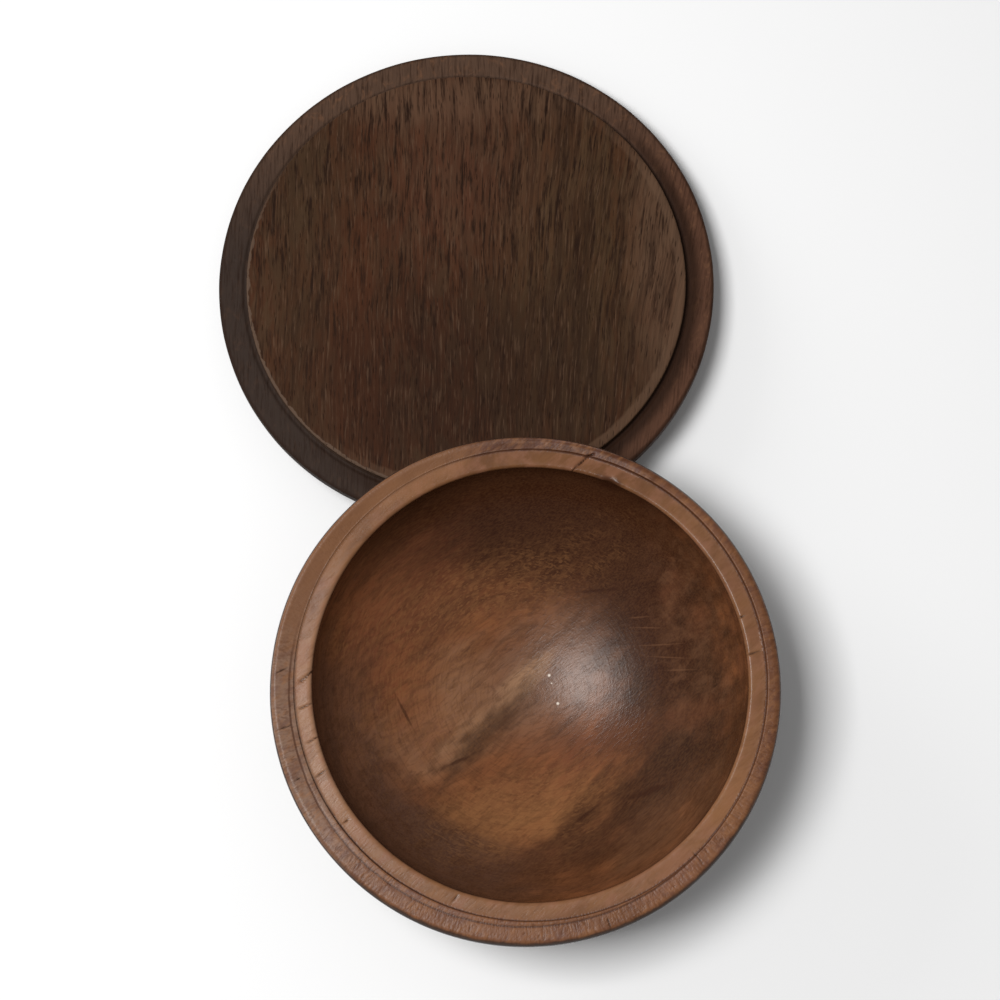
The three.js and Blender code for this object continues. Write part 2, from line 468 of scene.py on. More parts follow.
marks, given, result = new_tree(
    "marks across a band", "ShaderNodeTree",
    [("Vector", "NodeSocketVector", None), ("Count", "NodeSocketFloat", 600.0),
     ("Length", "NodeSocketFloat", 3.0), ("From", "NodeSocketFloat", 0.45), ("To", "NodeSocketFloat", 0.6)],
    [("Tone", "NodeSocketFloat")])
flat = vectors(marks, "MULTIPLY", given["Vector"], (1, 1, 0))
turns = maths(marks, "DIVIDE", given["Count"], 2 * math.pi)
around = vectors(marks, "SCALE", vectors(marks, "NORMALIZE", flat), scale=turns)
outwards = maths(marks, "DIVIDE", vectors(marks, "LENGTH", flat), given["Length"])
spot = vectors(marks, "ADD", around, combine(marks, z=outwards))
tone = add(marks, "ShaderNodeTexNoise", {"Vector": spot, "Scale": 1.0, "Detail": 2.0}).outputs[0]
marks.links.new(eased(marks, tone, given["From"], given["To"]), result["Tone"])


def effect(tree, group, inputs):
    """Places a shared effect in a material and gives its output."""
    node = tree.nodes.new("ShaderNodeGroup")
    node.node_tree = group
    for name, value in inputs.items():
        if isinstance(value, bpy.types.NodeSocket):
            tree.links.new(value, node.inputs[name])
        else:
            node.inputs[name].default_value = value
    return node.outputs[0]


def soft_patch(wood, middle, half_length, half_width, turn=0, softness=0.4, ragged=0.5, size=12.0):
    """A mask about a middle, with its lengths in millimetres and its turn in degrees.

    A wood is its tree, the place on the piece in millimetres, and the grain that frays edges.
    """
    tree, here, frays = wood
    return effect(tree, patch, {
        "Vector": here, "Grain": frays, "Middle": (*middle, 0), "Half length": half_length,
        "Half width": half_width, "Turn": math.radians(turn), "Softness": softness,
        "Ragged": ragged, "Ragged size": size})


def turned_ring(wood, inner, outer, softness, ragged=0.0, middle=(0, 0, 0)):
    """A mask between two radii, in millimetres."""
    tree, here = wood[:2]
    return effect(tree, ring, {"Vector": here, "Middle": tuple(middle), "Inner": inner, "Outer": outer,
                               "Softness": softness, "Ragged": ragged})


def tint(tree, mask, below, above, strength=1.0):
    """Blends a colour over another one by a mask."""
    node = tree.nodes.new("ShaderNodeMix")
    node.data_type = "RGBA"
    if strength != 1.0:
        mask = times(tree, mask, strength)
    tree.links.new(mask, node.inputs[0])
    for slot, value in ((6, below), (7, above)):
        if isinstance(value, bpy.types.NodeSocket):
            tree.links.new(value, node.inputs[slot])
        else:
            node.inputs[slot].default_value = (*value, 1)
    return node.outputs[2]


def new_material(name):
    """An empty material with its tree, its shader and the place on the object, in metres."""
    material = bpy.data.materials.new(name)
    material.use_nodes = True
    tree = material.node_tree
    shader = tree.nodes["Principled BSDF"]
    return material, tree, shader, add(tree, "ShaderNodeTexCoord").outputs["Object"]


# The bowl's colours: orange brown wood in level growth layers, which the hollow cuts into ovals,
# a grey middle, dark stains on the right, the hollow darker towards the top, a pale clean ledge
# that the lid has covered, a weathered outer band, and a dark flank whose tone is painted shade.
bowl_grain = math.radians(32)
bowl_grain_slope = math.radians(5)
fray_stretch = (0.4, 1, 1)      # frayed edges are longer along the grain
dark_wood = (0.044, 0.0155, 0.0068)
streak_wood = (0.046, 0.0215, 0.0120)
mid_wood = (0.112, 0.040, 0.0180)
orange_wood = (0.196, 0.069, 0.026)
golden_wood = (0.245, 0.108, 0.040)
red_wood = (0.170, 0.052, 0.022)
grey_wood = (0.165, 0.083, 0.049)
pale_grey_wood = (0.230, 0.112, 0.060)
tan_wood = (0.290, 0.158, 0.086)
deep_dark_tone = (0.031, 0.0090, 0.0038)
right_stain = (0.029, 0.0120, 0.0062)
ledge_wood = (0.182, 0.083, 0.039)
ledge_pale = (0.275, 0.148, 0.088)
ledge_dark = (0.104, 0.042, 0.017)
ledge_pink = (0.240, 0.106, 0.062)
band_wood = (0.174, 0.073, 0.034)
band_pale = (0.205, 0.122, 0.083)
band_dark = (0.072, 0.025, 0.010)
band_purple = (0.100, 0.044, 0.033)
band_gold = (0.240, 0.106, 0.044)
painted_edge_shade = (0.028, 0.0210, 0.0180)
flank_wood_painted_shade = (0.024, 0.0150, 0.0115)
flank_brown = (0.062, 0.0310, 0.0190)
painted_shade_wood = (0.078, 0.040, 0.028)
blotch_wood = (0.150, 0.068, 0.034)
line_tone = (0.055, 0.0185, 0.0075)
crack_tone = (0.022, 0.009, 0.005)
painted_glint_tone = (0.75, 0.66, 0.56)

bowl_wood, tree, shader, place = new_material("bowl_wood")
here = add(tree, "ShaderNodeMapping", {"Vector": place, "Scale": (MM, MM, MM)},
           vector_type="TEXTURE").outputs[0]
grain = add(tree, "ShaderNodeMapping",
            {"Vector": place, "Rotation": (0, bowl_grain_slope, bowl_grain), "Scale": (MM, MM, MM)},
            vector_type="TEXTURE").outputs[0]
frays = vectors(tree, "MULTIPLY", grain, fray_stretch)
bowl = tree, here, frays
layers = effect(tree, fibres, {"Vector": grain, "Width": 20, "Length": 46, "Thickness": 6, "Detail": 4,
                               "Curl": 0.8})
bands = effect(tree, fibres, {"Vector": grain, "Width": 5, "Length": 15, "Thickness": 5, "Detail": 4,
                              "Curl": 0.9, "From": 0.44, "To": 0.64})
mottle = effect(tree, fibres, {"Vector": grain, "Width": 2.2, "Length": 5, "Thickness": 3, "Detail": 5,
                               "Curl": 0.3, "From": 0.42, "To": 0.70})
blotches = effect(tree, fibres, {"Vector": grain, "Width": 6, "Length": 9, "Thickness": 8, "Detail": 4,
                                 "Curl": 0.3, "From": 0.42, "To": 0.66})
streaks = effect(tree, fibres, {"Vector": grain, "Width": 1.1, "Length": 7, "Thickness": 1.5,
                                "Curl": 0.4, "From": 0.52, "To": 0.68})
threads = effect(tree, fibres, {"Vector": grain, "Width": 0.7, "Length": 3, "Thickness": 0.7, "Detail": 2})
from_axis = vectors(tree, "SUBTRACT", here, hollow_offset)
arcs = effect(tree, marks, {"Vector": from_axis, "Count": 22, "Length": 0.9, "From": 0.50, "To": 0.64})
dashes = effect(tree, marks, {"Vector": from_axis, "Count": 150, "Length": 0.8, "From": 0.50, "To": 0.62})
colour = tint(tree, layers, mid_wood, orange_wood)
bowl_patches = [
    # middle, half length, half width, turn, softness, ragged, size of the rags, strength, tone
    ((-30, -1), 32, 20, 34, 0.5, 0.7, 9, 0.85, pale_grey_wood),
    ((-7, -46), 36, 14, 10, 0.6, 0.7, 9, 0.60, golden_wood),
    ((16, 12), 36, 22, 32, 0.6, 0.6, 9, 0.80, grey_wood),
    ((-1, 7), 15, 5.0, 42, 0.6, 0.6, 6, 0.85, tan_wood),
    ((5, 11), 8, 4.0, 42, 0.7, 0.6, 5, 0.60, tan_wood),
    ((-28, -14), 20, 6.0, 36, 0.6, 0.7, 6, 0.45, tan_wood),
    ((-18, -13), 28, 5.0, 38, 0.7, 1.3, 5, 0.80, streak_wood),
    ((62, 8), 25, 60, 8, 0.5, 0.9, 8, 0.96, right_stain),
    ((61, 17), 13, 20, 0, 0.5, 0.9, 7, 0.85, deep_dark_tone),
    ((52, -46), 42, 18, 30, 0.6, 0.9, 7, 0.92, right_stain),
    ((10, -70), 50, 11, 10, 0.6, 0.8, 7, 0.72, dark_wood),
    ((-52, -48), 24, 12, -44, 0.7, 0.6, 8, 0.60, dark_wood),
    # darker towards the top of the hollow
    ((18, 77), 80, 28, 0, 0.5, 0.5, 12, 0.97, deep_dark_tone),
    ((36, 52), 44, 15, -22, 0.7, 0.7, 9, 0.75, deep_dark_tone),
    ((-54, 20), 12, 34, 20, 0.7, 0.8, 8, 0.60, red_wood),
    ((-42, 52), 26, 12, 40, 0.7, 0.8, 8, 0.40, red_wood),
    ((12, -32), 34, 10, 20, 0.7, 0.8, 8, 0.45, red_wood),
    ((67, 35), 8, 4.5, 75, 0.6, 0.9, 5, 0.60, mid_wood),
    ((77, 20), 7, 4.5, 80, 0.6, 0.9, 5, 0.55, mid_wood),
    ((66, -17), 12, 6, 5, 0.6, 0.9, 6, 0.50, mid_wood),
    ((-20, -27), 13, 6, 34, 0.6, 0.8, 6, 0.50, orange_wood),
    ((-48, 14), 9, 20, 12, 0.6, 0.9, 5, 0.35, orange_wood),
    ((50, -64), 32, 10, 38, 0.6, 0.8, 6, 0.40, blotch_wood),
    ((-40, -62), 28, 12, -28, 0.6, 0.8, 8, 0.60, dark_wood),
    ((20, -50), 17, 6, 40, 0.6, 1.1, 5, 0.60, dark_wood),
    ((38, -46), 9, 3.5, 38, 0.6, 1.1, 4, 0.60, deep_dark_tone),
    ((38, -26), 12, 9, 20, 0.7, 0.9, 6, 0.35, dark_wood),
    ((42, 24), 15, 13, 0, 0.7, 0.9, 7, 0.40, deep_dark_tone),
    ((36, 64), 22, 9, -20, 0.7, 0.7, 8, 0.40, deep_dark_tone),
]
for middle, half_length, half_width, turn, softness, ragged, size, strength, tone in bowl_patches:
    mask = soft_patch(bowl, middle, half_length, half_width, turn, softness, ragged, size)
    colour = tint(tree, mask, colour, tone, strength)
fleck_places = [
    # middle, half length, half width, turn, strength
    ((-18, 44), 54, 15, 12, 0.40),
    ((-40, 10), 34, 28, 50, 0.32),
    ((-7, -46), 38, 16, 10, 0.40),
]
flecked = 0.0
for middle, half_length, half_width, turn, strength in fleck_places:
    mask = soft_patch(bowl, middle, half_length, half_width, turn, softness=0.7, ragged=0.8, size=8.0)
    flecked = maths(tree, "MAXIMUM", flecked, times(tree, mask, strength))
flecks = maths(tree, "MAXIMUM", times(tree, mottle, 0.8), times(tree, dashes, 0.9))
blotched = soft_patch(bowl, (72, 18), 16, 46, softness=0.6, ragged=0.6, size=10.0)
# Painted shade: the hollow's left wall, near the rim, is darkened as if the rim shaded it.
left_wall_painted_shade = times(
    tree, turned_ring(bowl, opening_radius - 15, past_rim, softness=16, ragged=12.0, middle=hollow_offset),
    soft_patch(bowl, (-84, -50), 84, 62, -58, ragged=0.2))
colour = tint(tree, times(tree, blotches, blotched), colour, blotch_wood, strength=0.38)
colour = tint(tree, left_wall_painted_shade, colour, painted_shade_wood, strength=0.62)
colour = tint(tree, bands, colour, dark_wood, strength=0.38)
colour = tint(tree, streaks, colour, dark_wood, strength=0.3)
colour = tint(tree, arcs, colour, dark_wood, strength=0.22)
colour = tint(tree, times(tree, flecks, flecked), colour, golden_wood)
colour = tint(tree, threads, colour, golden_wood, strength=0.12)

# Wear in the hollow: dark scars, light scratches on the right, and tiny pale spots that are painted
# highlights (glints).
scars = [
    # middle, half length, half width, turn
    ((-51, 0), 7, 0.5, -70),
    ((-33, -23), 6, 0.7, 18),
    ((18, -53), 7.5, 0.6, 29),
    ((46, -47), 8, 1.2, 12),
    ((38, 41), 8, 0.6, -5),
]
scratches = [((56, 22), 6, -12), ((60, 14), 8, -8), ((63, 8), 7, -14), ((53, 27), 4, -6), ((66, 2), 5, -10)]
scratch_half_width = 0.28
painted_glint_spots = [((12, 9), 0.6), ((14, -3.5), 0.55), ((12.6, 5.5), 0.3)]
scarred = scratched = painted_glint_mask = 0.0
for middle, half_length, half_width, turn in scars:
    mask = soft_patch(bowl, middle, half_length, half_width, turn, softness=0.6, ragged=1.0, size=2.5)
    scarred = maths(tree, "MAXIMUM", scarred, mask)
for middle, half_length, turn in scratches:
    mask = soft_patch(bowl, middle, half_length, scratch_half_width, turn, softness=0.6, ragged=0.6, size=3.0)
    scratched = maths(tree, "MAXIMUM", scratched, mask)
# Painted highlights: the pale spots stand in for glints of light.
for middle, size in painted_glint_spots:
    painted_glint_mask = maths(tree, "MAXIMUM", painted_glint_mask, soft_patch(bowl, middle, size, size, softness=0.5))
colour = tint(tree, scarred, colour, deep_dark_tone, strength=0.6)
colour = tint(tree, scratched, colour, ledge_wood, strength=0.3)
colour = tint(tree, painted_glint_mask, colour, painted_glint_tone, strength=0.85)

# The rim's parts, told apart by height, by distance from the hollow's axis and by the outside mark.
height = add(tree, "ShaderNodeSeparateXYZ", {0: here}).outputs[2]
up_top = eased(tree, height, ledge_height - 3, ledge_height - 1.4)
ledge_mask = times(tree, up_top, turned_ring(
    bowl, opening_radius - 1, rebate_radius - 0.4, softness=0.8, middle=hollow_offset))
outside = add(tree, "ShaderNodeAttribute", attribute_name="outside").outputs["Fac"]
outside_mask = eased(tree, outside, 0.4, 0.6)
outer_mask = maths(tree, "MAXIMUM", 0.0, times(
    tree, maths(tree, "SUBTRACT", up_top, outside_mask),
    turned_ring(bowl, rebate_radius - 0.4, past_rim, softness=0.6, middle=hollow_offset)))
corner_mask = times(tree, up_top, turned_ring(
    bowl, rebate_radius - 0.25, rebate_radius + 0.05, softness=0.3, middle=hollow_offset))
line_mask = times(tree, up_top, turned_ring(
    bowl, fine_line_radius - 0.25, fine_line_radius + 0.25, softness=0.35, ragged=0.6))
at_left = soft_patch(bowl, (-104, 2), 40, 66, softness=0.5, ragged=0.3)
at_top = soft_patch(bowl, (20, 112), 84, 52, softness=0.5, ragged=0.3)
at_right = soft_patch(bowl, (108, -8), 34, 70, softness=0.5, ragged=0.3)
worn = soft_patch(bowl, (-70, 84), 78, 44, 42, softness=0.3, ragged=0.6)
paler = times(tree, mottle, maths(tree, "MULTIPLY_ADD", at_top, -0.2, 0.2))
# Painted light on the ledge: paler on the left as painted sheen, darker at the top as painted shade.
ledge_colour = tint(tree, at_left, ledge_wood, ledge_pale)
ledge_colour = tint(tree, at_top, ledge_colour, ledge_dark)
ledge_colour = tint(tree, layers, ledge_colour, golden_wood, strength=0.36)
ledge_colour = tint(tree, bands, ledge_colour, ledge_dark, strength=0.36)
ledge_colour = tint(tree, streaks, ledge_colour, ledge_dark, strength=0.25)
ledge_colour = tint(tree, paler, ledge_colour, ledge_pale)
ledge_colour = tint(tree, blotches, ledge_colour, ledge_pink, strength=0.45)
# Painted light on the band: paler on the left as painted sheen, darker at the top and on the right as painted
# shade.
band_colour = tint(tree, at_left, band_wood, band_pale)
band_colour = tint(tree, at_top, band_colour, band_dark)
band_colour = tint(tree, blotches, band_colour, band_purple, strength=0.6)
band_colour = tint(tree, at_right, band_colour, band_dark, strength=0.32)
band_colour = tint(tree, mottle, band_colour, band_gold, strength=0.55)
rim_patches = [
    # middle, half length, half width, turn, strength, tone
    ((92, 30), 20, 8, 108, 0.28, ledge_dark),
    ((95, -16), 11, 7, 82, 0.22, ledge_dark),
    ((78, -58), 17, 8, 52, 0.40, band_gold),
    ((52, -80), 13, 6, 32, 0.40, ledge_pink),
    ((-32, 92), 26, 6, 20, 0.45, band_gold),
    ((-64, 72), 15, 7, 48, 0.35, ledge_dark),
    ((8, -95), 22, 4, -3, 0.35, ledge_dark),
    ((-50, 86), 11, 2.2, 36, 0.60, band_gold),
    ((-70, 66), 14, 3.0, 46, 0.40, band_gold),
    ((-84, 50), 18, 5, 60, 0.35, band_purple),
]
for middle, half_length, half_width, turn, strength, tone in rim_patches:
    mask = soft_patch(bowl, middle, half_length, half_width, turn, softness=0.5, ragged=1.1, size=6.0)
    ledge_colour = tint(tree, mask, ledge_colour, tone, strength)
    band_colour = tint(tree, mask, band_colour, tone, 0.8 * strength)
fine_marks = times(tree, effect(tree, marks, {"Vector": here, "Count": 760, "Length": 2.2}),
                   maths(tree, "MULTIPLY_ADD", bands, 0.7, 0.3),
                   maths(tree, "MULTIPLY_ADD", at_top, -0.8, 1.0))
# Painted shade: the rim's outer edge on the near side is darkened where it turns away from the light.
low_edge_painted_shade = times(tree, turned_ring(bowl, 103.9, past_rim, softness=1.2, ragged=1.5),
                 soft_patch(bowl, (10, -110), 104, 84, softness=0.3))
band_colour = tint(tree, fine_marks, band_colour, band_dark, strength=0.5)
band_colour = tint(tree, worn, band_colour, ledge_wood, strength=0.7)
band_colour = tint(tree, low_edge_painted_shade, band_colour, painted_edge_shade, strength=0.85)
# Painted shade: the flank's dark tone stands in for the shade on the bowl's side.
flank_colour = tint(tree, layers, flank_wood_painted_shade, flank_brown)
flank_colour = tint(tree, streaks, flank_colour, dark_wood, strength=0.5)
flank_colour = tint(tree, low_edge_painted_shade, flank_colour, painted_edge_shade, strength=0.85)
colour = tint(tree, outside_mask, colour, flank_colour)
colour = tint(tree, ledge_mask, colour, ledge_colour)
colour = tint(tree, outer_mask, colour, band_colour)
chatter_mask = add(tree, "ShaderNodeAttribute", attribute_name="chatter").outputs["Fac"]
crack_mask = add(tree, "ShaderNodeAttribute", attribute_name="crack").outputs["Fac"]
colour = tint(tree, chatter_mask, colour, band_dark, strength=0.28)
corner_mask = times(tree, corner_mask, maths(tree, "MULTIPLY_ADD", at_left, -0.8, 1.0))
lines = times(tree, maths(tree, "MAXIMUM", times(tree, line_mask, outer_mask), corner_mask),
              maths(tree, "MULTIPLY_ADD", worn, -0.65, 0.75))
stain = soft_patch(bowl, (46.6, 80.4), 5, 1.6, -28, softness=0.5, ragged=0.6, size=2.0)
colour = tint(tree, lines, colour, line_tone)
colour = tint(tree, stain, colour, deep_dark_tone, strength=0.7)
colour = tint(tree, crack_mask, colour, crack_tone)
tree.links.new(colour, shader.inputs["Base Color"])
relief = maths(tree, "SUBTRACT", times(tree, threads, 0.35), times(tree, streaks, 0.5))
relief = maths(tree, "SUBTRACT", relief, times(tree, fine_marks, outer_mask, 2.3))
relief = maths(tree, "SUBTRACT", relief, times(tree, arcs, maths(tree, "MULTIPLY_ADD", up_top, -0.2, 0.2)))
bump = add(tree, "ShaderNodeBump", {"Height": relief, "Strength": 0.17, "Distance": 0.0003})
tree.links.new(bump.outputs[0], shader.inputs["Normal"])
tree.links.new(maths(tree, "MULTIPLY_ADD", outer_mask, 0.09, 0.26), shader.inputs["Roughness"])
shader.inputs["Specular IOR Level"].default_value = 0.17

bowl_piece = shaped_by(bowl_mesh, chatter, "turned_bowl", {
    "Marks": 820.0, "Depth": 0.00013, "Inner radius": 0.0968, "Outer radius": 0.1049, "Lowest": 0.0632,
    "Calm behind": 0.015, "Seed": 3.0, "Wood": bowl_wood})
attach(bowl_piece, "bowl")
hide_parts("bowl")

# The lid. A disc of darker, open-grained wood, turned with a raised plug on its underside, which
# lies upwards here. Its far edge is on the table and its near edge leans on the bowl's flank.
lid_radius = 108.5
lid_thickness = 9
plug_radius = 96
plug_rise = 3.2
plug_round = 0.8
flange_round = 1.5
lid_top_round = 3
lid_lean = math.radians(-5.1)
lid_columns = 1200
lid_back_columns = 300
grain_step = 1.6        # length of the facets along the grain of the plug's face
grain_index = 274       # the grain runs along this column, 82.2 degrees from +X

lid_profile = (
    [(r, -lid_thickness) for r in (0, 12, 24, 36, 48, 60, 72, 84, 94, 101)]
    + rounded(lid_radius - lid_top_round, lid_top_round - lid_thickness, lid_top_round, -1, 0, 6))
flange_profile = (
    [(lid_radius, -4.5), (lid_radius, -3)]
    + rounded(lid_radius - flange_round, -flange_round, flange_round, 0, 1, 5)
    + steps_between((lid_radius - flange_round, 0), (plug_radius + 2.4, 0), 11)
    + [(plug_radius + 2.0, -0.15), (plug_radius + 1.5, -0.45), (plug_radius + 0.9, -0.6),
       (plug_radius + 0.3, -0.5), (plug_radius, -0.2), (plug_radius, 1.2)]
    + rounded(plug_radius - plug_round, plug_rise - plug_round, plug_round, 0, 1, 4))
lid_rows = [(r, z, 0, lid_back_columns if r else 1) for r, z in lid_profile]
lid_rows += [(r, z, 0, lid_columns) for r, z in flange_profile]
points, outward, row_of, faces = turn_on_lathe(lid_rows, Vector((0, 0, 0)))


def fill_along_grain(points, faces, columns, grain_column, step):
    """Closes the last ring with a flat face whose facets run along the grain.

    Each line of points joins two points of the ring, and neighbours are sewn together.
    """
    ring_start = len(points) - columns
    lines = []
    for j in range(columns // 2 + 1):
        low = ring_start + (grain_column + columns // 4 + j) % columns
        high = ring_start + (grain_column + columns // 4 - j) % columns
        if low == high:
            lines.append([low])
            continue
        start, end = points[low], points[high]
        count = max(round((end - start).length / step), 1)
        line = [low]
        for k in range(1, count):
            line.append(len(points))
            points.append(start.lerp(end, k / count))
        lines.append(line + [high])
    for left, right in zip(lines, lines[1:]):
        i = j = 0
        while i < len(left) - 1 or j < len(right) - 1:
            left_share = (i + 1) / (len(left) - 1) if i < len(left) - 1 else 2
            right_share = (j + 1) / (len(right) - 1) if j < len(right) - 1 else 2
            if right_share <= left_share:
                faces.append((left[i], right[j], right[j + 1]))
                j += 1
            else:
                faces.append((left[i], right[j], left[i + 1]))
                i += 1


fill_along_grain(points, faces, lid_columns, grain_index, grain_step)

# Wear on the lid: the plug's edge is chipped, most at the lower left, and small nicks dot the
# flange on its right.
edge_wear = 0.5
flange_nicks = [((100.5, -22.0), 1.1, 0.6), ((103.5, -38.0), 0.9, 0.5), ((99.0, -55.0), 1.2, 0.5),
                ((104.5, -14.0), 0.8, 0.4), ((93.0, -52.5), 1.0, 0.5), ((-99.5, 24.0), 1.2, 0.3),
                ((-30.0, 98.6), 1.3, 0.3), ((21.0, 101.0), 1.2, 0.3), ((101.5, 6.0), 1.0, 0.4)]
first_plug_row = len(lid_rows) - 5
face_reach = 95.2       # the plug's flat face ends here
for i, point in enumerate(points):
    from_middle = math.hypot(point.x, point.y)
    if i >= len(row_of):
        waves = 1 + noise.noise(Vector((point.x, point.y, 5)) * 0.03)
        point.z -= 0.12 * waves * min((face_reach - from_middle) / 4, 1)
        continue
    sunk = 0.1 * (1 + noise.noise(point * 0.05))
    if row_of[i] >= first_plug_row:
        low_left = 0.35 + 0.65 * max(0, -(point.x + point.y) / (plug_radius * 1.42))
        large_chips = noise.noise(Vector((point.x, point.y, 0)) * 0.42)
        small_chips = noise.noise(Vector((point.x, point.y, 3)) * 1.1)
        sunk = edge_wear * low_left * max(0, large_chips + 0.5 * small_chips)
        if row_of[i] == len(lid_rows) - 1:
            sunk = 0
    elif point.z > -0.01 and from_middle > plug_radius + 0.1:
        for middle, reach, depth in flange_nicks:
            sunk += depth * dip(math.hypot(point.x - middle[0], point.y - middle[1]), reach)
        sunk += 0.04 * (1 + noise.noise(Vector((from_middle * 1.3, 0, 1))))
    point -= outward[i] * sunk

lid_mesh = make_piece("lid wood", points, faces, {})
grain_turn = 2 * math.pi * grain_index / lid_columns
pore_spacing = 0.95
pore_length = 8.0
pore_fill = 0.25
fan = 0.0018            # how much faster the grain leans over, the farther it lies to the right


def along_lid_grain(tree, place, turn):
    """The lid's own place in millimetres, turned so that X runs along its fanned, wavy grain."""
    turned = add(tree, "ShaderNodeVectorRotate", {"Vector": place, "Angle": times(tree, turn, -1.0)},
                 rotation_type="Z_AXIS").outputs[0]
    sides = add(tree, "ShaderNodeSeparateXYZ", {0: turned}).outputs
    lean = times(tree, maths(tree, "MINIMUM", sides[1], 0.0), sides[0], -fan)
    wave = add(tree, "ShaderNodeTexNoise", {"Vector": turned, "Scale": 0.022, "Detail": 1.0}).outputs[0]
    across = maths(tree, "ADD", maths(tree, "ADD", sides[1], lean), times(tree, wave, 4.0))
    return combine(tree, sides[0], across, sides[2])


# The plug's face was cut across open pores. They repeat over the whole face, so a node tree opens
# them in the points. It works in the lid's own axes, in metres.
opened, given, result = new_tree(
    "opened pores", "GeometryNodeTree",
    [("Geometry", "NodeSocketGeometry", None), ("Grain turn", "NodeSocketFloat", 0.0),
     ("Spacing", "NodeSocketFloat", 1.6), ("Length", "NodeSocketFloat", 9.0),
     ("Fill", "NodeSocketFloat", 0.3), ("Depth", "NodeSocketFloat", 0.0002),
     ("Face height", "NodeSocketFloat", 0.003), ("Face radius", "NodeSocketFloat", 0.094),
     ("Wood", "NodeSocketMaterial", None)],
    [("Geometry", "NodeSocketGeometry")])
place = add(opened, "GeometryNodeInputPosition").outputs[0]
threads = along_lid_grain(opened, vectors(opened, "SCALE", place, scale=1 / MM), given["Grain turn"])
dashes = find_pores(opened, threads, given["Spacing"], given["Length"], given["Fill"])
split = add(opened, "ShaderNodeSeparateXYZ", {0: place}).outputs
radius = vectors(opened, "LENGTH", combine(opened, split[0], split[1]))
past_face = maths(opened, "ADD", given["Face radius"], 0.001)
under_face = maths(opened, "SUBTRACT", given["Face height"], 0.0005)
on_face = times(opened, eased(opened, radius, past_face, given["Face radius"]),
                eased(opened, split[2], under_face, given["Face height"]))
push = combine(opened, z=times(opened, dashes, on_face, times(opened, given["Depth"], -1.0)))
moved = add(opened, "GeometryNodeSetPosition", {"Geometry": given["Geometry"], "Offset": push}).outputs[0]
whole = add(opened, "GeometryNodeRealizeInstances", {"Geometry": moved}).outputs[0]
coated = add(opened, "GeometryNodeSetMaterial", {"Geometry": whole, "Material": given["Wood"]}).outputs[0]
opened.links.new(coated, result["Geometry"])

# Where the lid lies: in its own axes the flange's face is at height 0. It leans about X, and then
# its outline fills the same box as the CAD node's.
lean = Matrix.Rotation(lid_lean, 4, "X")
outline = [lean @ Vector((0, side * r, z)) * MM for r, z, _, _ in lid_rows for side in (-1, 1)]
box_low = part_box("lid")[0]
lid_place = Vector((0, box_low[1] - min(p.y for p in outline), box_low[2] - min(p.z for p in outline)))

# The lid's colours: dark brown with a red stripe left of the middle, olive on the right, paler near
# the sides and the top. The flange is greyer on the left, a painted reflection, and redder on the right.
lid_dark = (0.0165, 0.0068, 0.0034)
lid_mid = (0.041, 0.0172, 0.0080)
lid_pale = (0.058, 0.0285, 0.0138)
lid_light = (0.105, 0.0580, 0.0340)
lid_red = (0.054, 0.0175, 0.0070)
lid_rust = (0.084, 0.034, 0.019)
lid_olive = (0.054, 0.0320, 0.0140)
lid_moss = (0.040, 0.0225, 0.0105)
flange_grey_painted_reflection = (0.033, 0.0215, 0.0165)
flange_worn = (0.150, 0.070, 0.036)
flange_brown = (0.074, 0.041, 0.026)
flange_red = (0.080, 0.036, 0.021)
arris_tone = (0.088, 0.054, 0.036)
pore_and_painted_shade_tone = (0.012, 0.0050, 0.0028)

lid_wood, tree, shader, place = new_material("lid_wood")
here = add(tree, "ShaderNodeMapping",
           {"Vector": place, "Location": lid_place, "Rotation": (lid_lean, 0, 0), "Scale": (MM, MM, MM)},
           vector_type="TEXTURE").outputs[0]
grain = along_lid_grain(tree, here, grain_turn)
frays = vectors(tree, "MULTIPLY", grain, fray_stretch)
disc = tree, here, frays
figure = effect(tree, fibres, {"Vector": grain, "Width": 9, "Length": 60, "Thickness": 9,
                               "From": 0.34, "To": 0.66})
hue = effect(tree, fibres, {"Vector": grain, "Width": 4.5, "Length": 16, "Thickness": 5,
                            "From": 0.40, "To": 0.60})
stripes = effect(tree, fibres, {"Vector": grain, "Width": 2.4, "Length": 46, "Thickness": 6,
                                "From": 0.42, "To": 0.62})
clusters = effect(tree, fibres, {"Vector": grain, "Width": 6, "Length": 14, "Thickness": 7,
                                 "From": 0.36, "To": 0.60})
streaks = effect(tree, fibres, {"Vector": grain, "Width": 1.0, "Length": 14, "Thickness": 2, "Detail": 3,
                                "From": 0.44, "To": 0.66})
glints = effect(tree, fibres, {"Vector": grain, "Width": 0.9, "Length": 12, "Thickness": 3, "Detail": 3,
                               "From": 0.52, "To": 0.72})
open_pores = effect(tree, pores, {"Vector": grain, "Spacing": pore_spacing, "Length": pore_length,
                                  "Fill": pore_fill})
colour = tint(tree, figure, lid_mid, lid_pale)
colour = tint(tree, hue, colour, lid_red, strength=0.75)
lid_patches = [
    # middle, half length, half width, softness, ragged, strength, tone
    ((-46, 14), 92, 7, 0.7, 0.5, 0.45, lid_red),
    ((-53, -42), 46, 15, 0.8, 0.5, 0.55, lid_red),
    ((44, 0), 84, 34, 0.6, 0.5, 0.45, lid_olive),
    ((86, 0), 56, 12, 0.7, 0.4, 0.60, lid_light),
    ((8, 86), 12, 62, 0.7, 0.4, 0.60, lid_light),
    ((8, 52), 38, 34, 0.8, 0.6, 0.40, lid_rust),
    ((-74, 10), 60, 12, 0.8, 0.5, 0.45, lid_moss),
    ((-60, 60), 30, 16, 0.8, 0.5, 0.45, lid_moss),
    ((-6, -50), 44, 60, 0.7, 0.5, 0.55, lid_dark),
]
